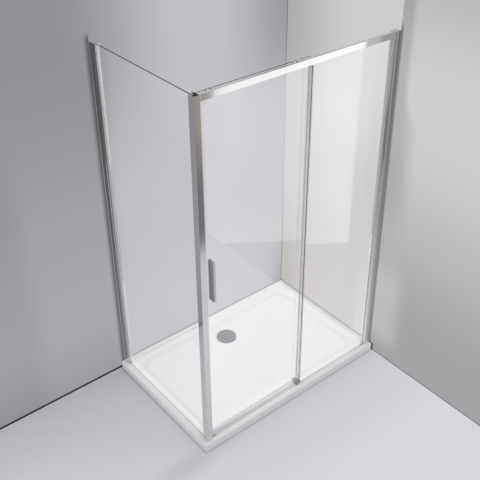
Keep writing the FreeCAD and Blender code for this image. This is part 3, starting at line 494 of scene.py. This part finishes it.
def add_plug(form, low, high):
    """A moulded plug between two corners, its top sunk inside an eased rim."""
    clearance, rim, sink, easing = 0.00015, 0.0011, 0.0005, 0.0004
    low = Vector(low) + Vector((clearance, clearance, 0.0))
    high = Vector(high) - Vector((clearance, clearance, 0.0))
    fitted = Matrix.Translation((low + high) / 2) @ Matrix.Diagonal((high - low).to_4d())
    block = bmesh.ops.create_cube(form, size=1.0, matrix=fitted)["verts"]
    faces = {face for corner in block for face in corner.link_faces}
    top = max(faces, key=lambda face: face.calc_center_median().z)
    edges = list(top.edges)
    bmesh.ops.inset_region(form, faces=[top], thickness=rim)
    bmesh.ops.translate(form, verts=list(top.verts), vec=(0.0, 0.0, -sink))
    bmesh.ops.bevel(form, geom=edges, offset=easing, segments=2, affect="EDGES")


def middle_of(part):
    """Centre of a corner, edge or face of a form, to a thousandth of a millimetre."""
    corners = getattr(part, "verts", [part])
    centre = sum((corner.co for corner in corners), Vector()) / len(corners)
    return tuple(round(value, 6) for value in centre)


def profile_plugs(side, chambers):
    """The plugs of one profile as one piece."""
    form = bmesh.new()
    for (left, right), (front, back) in chambers:
        add_plug(form, (left, front, plug_top - plug_thickness), (right, back, plug_top))
    # The easing leaves its faces in no fixed order, so everything is sorted by place.
    for sequence in (form.verts, form.edges, form.faces):
        ranks = {part: rank for rank, part in enumerate(sorted(sequence, key=middle_of))}
        sequence.sort(key=ranks.get)
    mesh = bpy.data.meshes.new(side + "_profile_plugs")
    form.to_mesh(mesh)
    form.free()
    mesh.materials.append(grey_cover)
    piece = bpy.data.objects.new(side + "_profile_plugs", mesh)
    bpy.context.collection.objects.link(piece)
    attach(piece, "enclosure")


for side, chambers in profile_chambers.items():
    profile_plugs(side, chambers)


# ---- Studio corner -----------------------------------------------------------
# The walls stand close behind the part, and their paint gives off its own light,
# set by place, so the lamps only light the floor and the part itself.
wall_gap = 0.003
right_x, back_y = tray_right + wall_gap, tray_back + wall_gap
wall_left_end, wall_front_end, wall_height = -10.0, -5.0, 8.0
floor_reach = 14.0
# The panes' middle planes, and how far on either side of them a wall's tone changes.
side_pane_x, front_pane_y, pane_blur = -0.575, -0.373, 0.003
wall_tint = (1.0, 0.978, 1.038)


def board(name, corners, material):
    """A flat stage board through four corners, its face the side they run anticlockwise on."""
    mesh = bpy.data.meshes.new(name)
    mesh.from_pydata(corners, [], [(0, 1, 2, 3)])
    item = bpy.data.objects.new(name, mesh)
    bpy.context.collection.objects.link(item)
    mesh.materials.append(material)
    return item


def floor_paint():
    """Pale floor with painted shade: darker towards the back wall and close round the tray."""
    finish = Finish("floor_paint")
    x, y = finish.parts(finish.place())[:2]
    from_wall = finish.math("ABSOLUTE", finish.minus(back_y, y))
    # Painted shade: the floor's level falls towards the back wall.
    floor_level_with_painted_shade = finish.plus(finish.ramp(from_wall, -0.05, 0.35, 0.50, 0.64, smooth=False),
                             finish.ramp(from_wall, 0.35, 1.3, 0.0, 0.18, smooth=False))
    gap = finish.math("MAXIMUM", finish.minus(finish.math("ABSOLUTE", x), tray_right),
                      finish.minus(finish.math("ABSOLUTE", y), tray_back))
    # A long soft spot of painted shade beside the tray's left front corner.
    spot_squeeze, spot_x, spot_y = 0.33, -0.74, -0.41
    from_spot = finish.joined("ShaderNodeVectorMath", {"operation": "DISTANCE"}, "01",
                              (finish.place((spot_squeeze, 1.0, 1.0)),
                               (spot_squeeze * spot_x, spot_y, 0.0))).outputs[1]
    # Painted shadow: a thin dark band along the tray's sides, a wider soft one, and the spot.
    painted_contact_shade = finish.times(finish.ramp(gap, 0.0, 0.010, 0.72, 1.0),
                           finish.ramp(gap, 0.0, 0.12, 0.98, 1.0),
                           finish.ramp(from_spot, 0.0, 0.10, 0.87, 1.0))
    colour = finish.scaled((1.015, 0.98, 1.055), finish.times(floor_level_with_painted_shade, painted_contact_shade))
    paint = finish.shader(Roughness=0.85, Specular_IOR_Level=0.15, Base_Color=colour)
    # Painted reflection: bright metal mirrors the floor far in front as dim, while the eye sees it
    # pale.
    path = finish.rays()
    in_gloss = finish.minus(path["Is Glossy Ray"], path["Is Transmission Ray"], clamp=True)
    dim = finish.add("ShaderNodeEmission", Color=(0.20, 0.195, 0.20, 1.0), Strength=1.0)
    far = finish.times(in_gloss, finish.ramp(y, -1.68, -1.95))
    return finish.done(finish.mixed(far, paint, dim))


def wall_paint(name, axis, direct, through_glass, mirrored):
    """Painted wall along one axis as the eye, glass and bright metal show it, clear from behind."""
    finish = Finish(name)
    path = finish.rays()
    x, y, z = finish.parts(finish.place())
    along = {"x": x, "y": y}[axis]
    shown = direct(finish, along, z)
    seen = finish.blend(path["Is Glossy Ray"], shown, mirrored(finish, shown, along, z))
    after_mirror = finish.math("MINIMUM", path["Glossy Depth"], 1.0)
    straight = finish.minus(path["Is Transmission Ray"], after_mirror, clamp=True)
    seen = finish.blend(straight, seen, through_glass(finish, shown, along, z))
    # A mirrored ray that comes through a pane finds the wall left of the side pane darker.
    mirrored_in_glass = finish.times(path["Is Transmission Ray"], after_mirror)
    outside = finish.ramp(x, -0.60, -0.57, 0.68, 1.0)
    seen = finish.scaled(seen, finish.between(mirrored_in_glass, 1.0, outside))
    paint = finish.add("ShaderNodeEmission", Color=seen, Strength=1.0)
    behind = finish.add("ShaderNodeNewGeometry").outputs["Backfacing"]
    # Only the lamps are aimed at for light, which keeps bright metal free of specks.
    finish.material.cycles.emission_sampling = "NONE"
    return finish.done(finish.mixed(behind, paint, finish.see_through()))


def joints_with_painted_shade(finish, from_corner, z):
    """Dark joints of a wall behind the panes, deepened by painted shade: in the room's corner,
    darkest high and low, and on the tray.
    """
    from_middle = finish.math("ABSOLUTE", finish.minus(z, 1.1))
    corner_level = finish.ramp(from_middle, 0.3, 0.7, 0.75, 0.38)
    corner = finish.between(finish.ramp(from_corner, 0.0, 0.005), corner_level, 1.0)
    return finish.times(corner, finish.ramp(z, 0.046, 0.054, 0.62, 1.0))


def below_top(finish, z, level):
    """A level up to the profiles' tops, which fades to 1 just above them."""
    return finish.between(finish.ramp(z, full_height, full_height + 0.05), level, 1.0)


# The functions below paint the walls by place. Their ramps run between two places in metres
# and give light levels there.
def back_wall_direct(finish, x, z):
    """Soft light on the back wall: dim at the left, brighter behind the glass, dim in the corner."""
    high = finish.times(finish.ramp(x, -0.72, -0.04, 0.293, 0.545),
                        finish.ramp(x, 0.10, 0.64, 1.0, 0.60))
    # Left of the side pane.
    far_left = finish.times(finish.ramp(x, -0.95, -1.13), finish.ramp(z, 1.65, 1.15))
    left = finish.times(finish.ramp(z, 0.5, 1.95, 0.395, 0.293),
                        finish.ramp(z, 0.0, 0.35, 0.84, 1.0, smooth=False),
                        finish.ramp(z, 0.009, 0.018, 0.06, 1.0),
                        finish.ramp(far_left, 0.0, 1.0, 1.0, 0.88, smooth=False))
    left = finish.times(finish.between(finish.ramp(z, 1.70, 1.95), left, high),
                        below_top(finish, z, finish.ramp(x, -0.577, -0.608, 0.32, 1.0)))
    # Behind the glass.
    low = finish.plus(finish.ramp(z, 0.9, 0.1, 0.545, 0.59), finish.ramp(x, 0.1, 0.6, 0.0, -0.04))
    inside = finish.times(finish.between(finish.ramp(z, 1.05, 1.90), low, high),
                          joints_with_painted_shade(finish, finish.minus(right_x, x), z))
    edge = finish.ramp(x, side_pane_x - pane_blur, side_pane_x + pane_blur)
    above = finish.times(finish.ramp(z, 2.15, 2.45), finish.ramp(x, 0.05, 0.3, 0.0, 0.3))
    level = finish.times(finish.between(edge, left, inside), finish.plus(1.0, above))
    return finish.scaled(wall_tint, level)


def back_wall_through(finish, shown, x, z):
    """The back wall behind a pane: a little brighter, dim low in the corner."""
    upper = finish.times(finish.ramp(x, 0.08, 0.25), finish.ramp(z, 0.8, 1.4, 0.0, 0.08))
    corner = finish.times(finish.ramp(x, 0.46, 0.60), finish.ramp(z, 0.5, 0.05, 0.0, 0.22))
    gain = finish.plus(finish.ramp(z, 1.2, 1.8, 1.115, 1.16), finish.minus(upper, corner))
    return finish.scaled(shown, gain)


def back_wall_mirrored(finish, shown, x, z):
    """What bright surfaces mirror of the back wall: a shadow beside the left channel."""
    by_side = finish.plus(finish.ramp(z, 1.7, 0.9, 0.36, 0.66, smooth=False),
                          finish.ramp(z, 0.9, 0.5, 0.0, 0.32))
    close = finish.between(finish.ramp(x, -0.593, -0.596), finish.ramp(z, 1.2, 0.2, 0.33, 0.5),
                           by_side)
    shade = finish.between(finish.ramp(x, -0.606, -0.66), close, 1.0)
    shadow = finish.scaled(wall_tint, finish.times(shade, finish.ramp(z, 0.5, 1.95, 0.385, 0.293)))
    beside = finish.times(finish.ramp(x, -0.556, -0.572), finish.ramp(x, -0.72, -0.66))
    return finish.blend(beside, shown, shadow)


def right_wall_direct(finish, y, z):
    """Soft light on the right wall: darker low down in front and close to the corner."""
    # In front of the fixed pane: a shade beside the profile and a glow at its foot.
    shade_end = finish.ramp(z, 1.42, 1.62, -0.56, -0.465)
    shade = finish.between(finish.ramp(z, 0.7, 1.2), 1.0,
                           finish.ramp(y, -0.42, shade_end, 0.74, 1.0))
    glow = finish.times(finish.ramp(y, -0.62, -0.47), finish.ramp(z, 0.75, 0.45),
                        finish.ramp(z, 0.03, 0.2, 0.0, 0.13))
    front = finish.plus(finish.times(finish.ramp(z, 0.25, 1.55, 0.375, 0.61), shade), glow)
    by_channel = below_top(finish, z, finish.ramp(y, -0.378, -0.392, 0.42, 1.0))
    by_tray = finish.between(finish.ramp(z, 0.045, 0.055),
                             finish.ramp(y, -0.402, -0.418, 0.3, 1.0), 1.0)
    front = finish.times(front, by_channel, by_tray, finish.ramp(z, 1.7, 2.3, 1.0, 0.78),
                         finish.ramp(z, 0.003, 0.012, 0.5, 1.0))
    # Behind it.
    inside = finish.between(finish.ramp(z, 1.0, 1.7), 0.62,
                            finish.ramp(y, -0.10, 0.46, 0.605, 0.41))
    inside = finish.times(inside, finish.ramp(z, 2.15, 2.45, 1.0, 1.16),
                          joints_with_painted_shade(finish, finish.minus(back_y, y), z))
    edge = finish.ramp(y, front_pane_y - pane_blur, front_pane_y + pane_blur)
    return finish.scaled((1.008, 0.985, 1.015), finish.between(edge, front, inside))


def right_wall_through(finish, _, y, z):
    """The right wall behind the fixed pane: bright near the glass, warm low in the corner."""
    middle = finish.times(finish.ramp(z, 0.5, 1.0), finish.ramp(z, 1.75, 1.35, 0.0, 0.05))
    level = finish.plus(
        finish.ramp(y, -0.2, 0.38, 0.69, 0.60, smooth=False),
        finish.ramp(y, -0.2, -0.1, -0.035, 0.0),
        finish.times(middle, finish.ramp(y, -0.2, -0.05)),
        finish.times(finish.ramp(z, 1.0, 1.5), finish.ramp(y, 0.36, 0.02, 0.0, 0.09)),
        finish.times(finish.ramp(z, 0.75, 0.1), finish.ramp(y, 0.38, 0.1, -0.04, 0.045)))
    level = finish.times(level, joints_with_painted_shade(finish, finish.minus(back_y, y), z))
    warm = finish.times(finish.ramp(z, 0.9, 0.2), finish.ramp(y, -0.1, 0.2))
    tint = finish.blend(warm, (1.005, 0.995, 1.010, 1.0), (1.022, 0.985, 0.968, 1.0))
    return finish.scaled(tint, level)


def right_wall_mirrored(finish, shown, y, z):
    """What bright surfaces mirror of the right wall: a patch of window light, dim beyond it."""
    patch = finish.scaled((1.0, 1.0, 1.0),
                          finish.ramp(y, -1.82, -0.60, 1.07, 1.22, smooth=False))
    foot = finish.ramp(y, -1.83, -0.585, -0.08, 0.625, smooth=False)
    past_edge = finish.minus(y, finish.ramp(z, 1.05, 0.95, -1.82, -1.87))
    within = finish.times(finish.ramp(past_edge, -0.015, 0.0),
                          finish.ramp(finish.minus(z, foot), -0.01, 0.01),
                          finish.ramp(y, -0.58, -0.59))
    beyond = finish.blend(finish.ramp(z, 0.25, 1.0),
                          (0.17, 0.165, 0.17, 1.0), (0.36, 0.31, 0.29, 1.0))
    dim = finish.blend(finish.ramp(past_edge, 0.0, -0.015), shown, beyond)
    whole = finish.blend(within, dim, patch)
    # Close to the right profile: narrow upright strips, each with its own run of shade.
    by_profile = finish.plus(finish.ramp(z, 1.3, 0.1, 0.22, 0.80, smooth=False),
                             finish.ramp(z, 1.47, 1.62, 0.0, 0.15))
    by_channel = finish.between(finish.ramp(y, -0.389, -0.394),
                                finish.ramp(z, 1.9, 0.1, 0.18, 0.34),
                                finish.ramp(z, 1.0, 0.15, 0.34, 0.46))
    shade = finish.between(finish.ramp(y, -0.4015, -0.4045), by_channel, by_profile)
    close = finish.times(finish.ramp(y, -0.37, -0.38), finish.ramp(y, -0.52, -0.47))
    return finish.blend(close, whole, finish.scaled((1.0, 0.99, 1.0), shade))


def wall_board(name, start, end, paint):
    """A wall that stands on the floor from start to end and neither lights nor shades."""
    item = board(name, [(*start, 0.0), (*end, 0.0), (*end, wall_height), (*start, wall_height)],
                 paint)
    item.visible_diffuse = False
    item.visible_shadow = False


board("studio_floor", [(-floor_reach, -floor_reach, 0.0), (floor_reach, -floor_reach, 0.0),
                       (floor_reach, floor_reach, 0.0), (-floor_reach, floor_reach, 0.0)],
      floor_paint())
wall_board("studio_back_wall", (wall_left_end, back_y), (right_x, back_y),
           wall_paint("back_wall_paint", "x", back_wall_direct, back_wall_through,
                      back_wall_mirrored))
wall_board("studio_right_wall", (right_x, back_y), (right_x, wall_front_end),
           wall_paint("right_wall_paint", "y", right_wall_direct, right_wall_through,
                      right_wall_mirrored))


# ---- Light -------------------------------------------------------------------
def soft_panel(name, centre, width, height, radiance, turn=(0.0, 0.0, 0.0), spread=pi):
    """A rectangular lamp of one brightness that camera, metal and glass don't show."""
    lamp = bpy.data.lights.new(name, "AREA")
    lamp.shape = "RECTANGLE"
    lamp.size = width
    lamp.size_y = height
    lamp.energy = radiance * pi * width * height
    lamp.spread = spread
    item = bpy.data.objects.new(name, lamp)
    item.location = centre
    item.rotation_euler = turn
    item.visible_camera = False
    item.visible_glossy = False
    item.visible_transmission = False
    bpy.context.collection.objects.link(item)


soft_panel("overhead_panel", (0.3, -0.7, 4.3), 3.2, 3.2, 1.5)
# This one lights the tray alone: it ends at the panes and walls and shines nearly straight down.
soft_panel("tray_light", (0.007, 0.018, 0.3), 1.147, 0.764, 0.27, spread=radians(12))
soft_panel("left_fill", (-2.2, 0.15, 0.9), 1.0, 1.2, 0.9, turn=(0.0, -pi / 2, 0.0))


def open_sky(lit, seen):
    """Even light from all round: colour and strength as it lights, and as the camera sees it."""
    sky = bpy.data.worlds.new("studio_sky")
    sky.use_nodes = True
    nodes, links = sky.node_tree.nodes, sky.node_tree.links
    nodes.clear()
    mix = nodes.new("ShaderNodeMixShader")
    links.new(nodes.new("ShaderNodeLightPath").outputs["Is Camera Ray"], mix.inputs[0])
    for number, (colour, strength) in enumerate((lit, seen), 1):
        background = nodes.new("ShaderNodeBackground")
        background.inputs["Color"].default_value = colour
        background.inputs["Strength"].default_value = strength
        links.new(background.outputs[0], mix.inputs[number])
    output = nodes.new("ShaderNodeOutputWorld")
    links.new(mix.outputs[0], output.inputs["Surface"])
    bpy.context.scene.world = sky


open_sky(((1.0, 1.0, 1.0, 1.0), 0.62), ((0.80, 0.79, 0.82, 1.0), 0.85))


# ---- Camera ------------------------------------------------------------------
def place_camera():
    """Camera high at the left front, looking down across the enclosure."""
    stand = Vector((-2.1473, -2.6214, 3.1301))
    yaw, pitch, roll = 0.87606, -0.565465, 0.002179
    focal_pixels, centre_x, centre_y, frame_pixels = 786.40, 253.60, 214.73, 480.0
    ahead = Vector((cos(pitch) * cos(yaw), cos(pitch) * sin(yaw), sin(pitch)))
    level_right = ahead.cross(Vector((0.0, 0.0, 1.0))).normalized()
    level_up = level_right.cross(ahead)
    right = level_right * cos(roll) + level_up * sin(roll)
    up = level_up * cos(roll) - level_right * sin(roll)
    data = bpy.data.cameras.new("front_left_camera")
    data.sensor_width = 36.0
    data.lens = data.sensor_width * focal_pixels / frame_pixels
    data.shift_x = (frame_pixels / 2 - centre_x) / frame_pixels
    data.shift_y = (centre_y - frame_pixels / 2) / frame_pixels
    camera = bpy.data.objects.new("front_left_camera", data)
    turn = Matrix((right, up, -ahead)).transposed().to_4x4()
    camera.matrix_world = Matrix.Translation(stand) @ turn
    bpy.context.collection.objects.link(camera)
    bpy.context.scene.camera = camera


place_camera()
bpy.context.scene.view_settings.view_transform = "Standard"
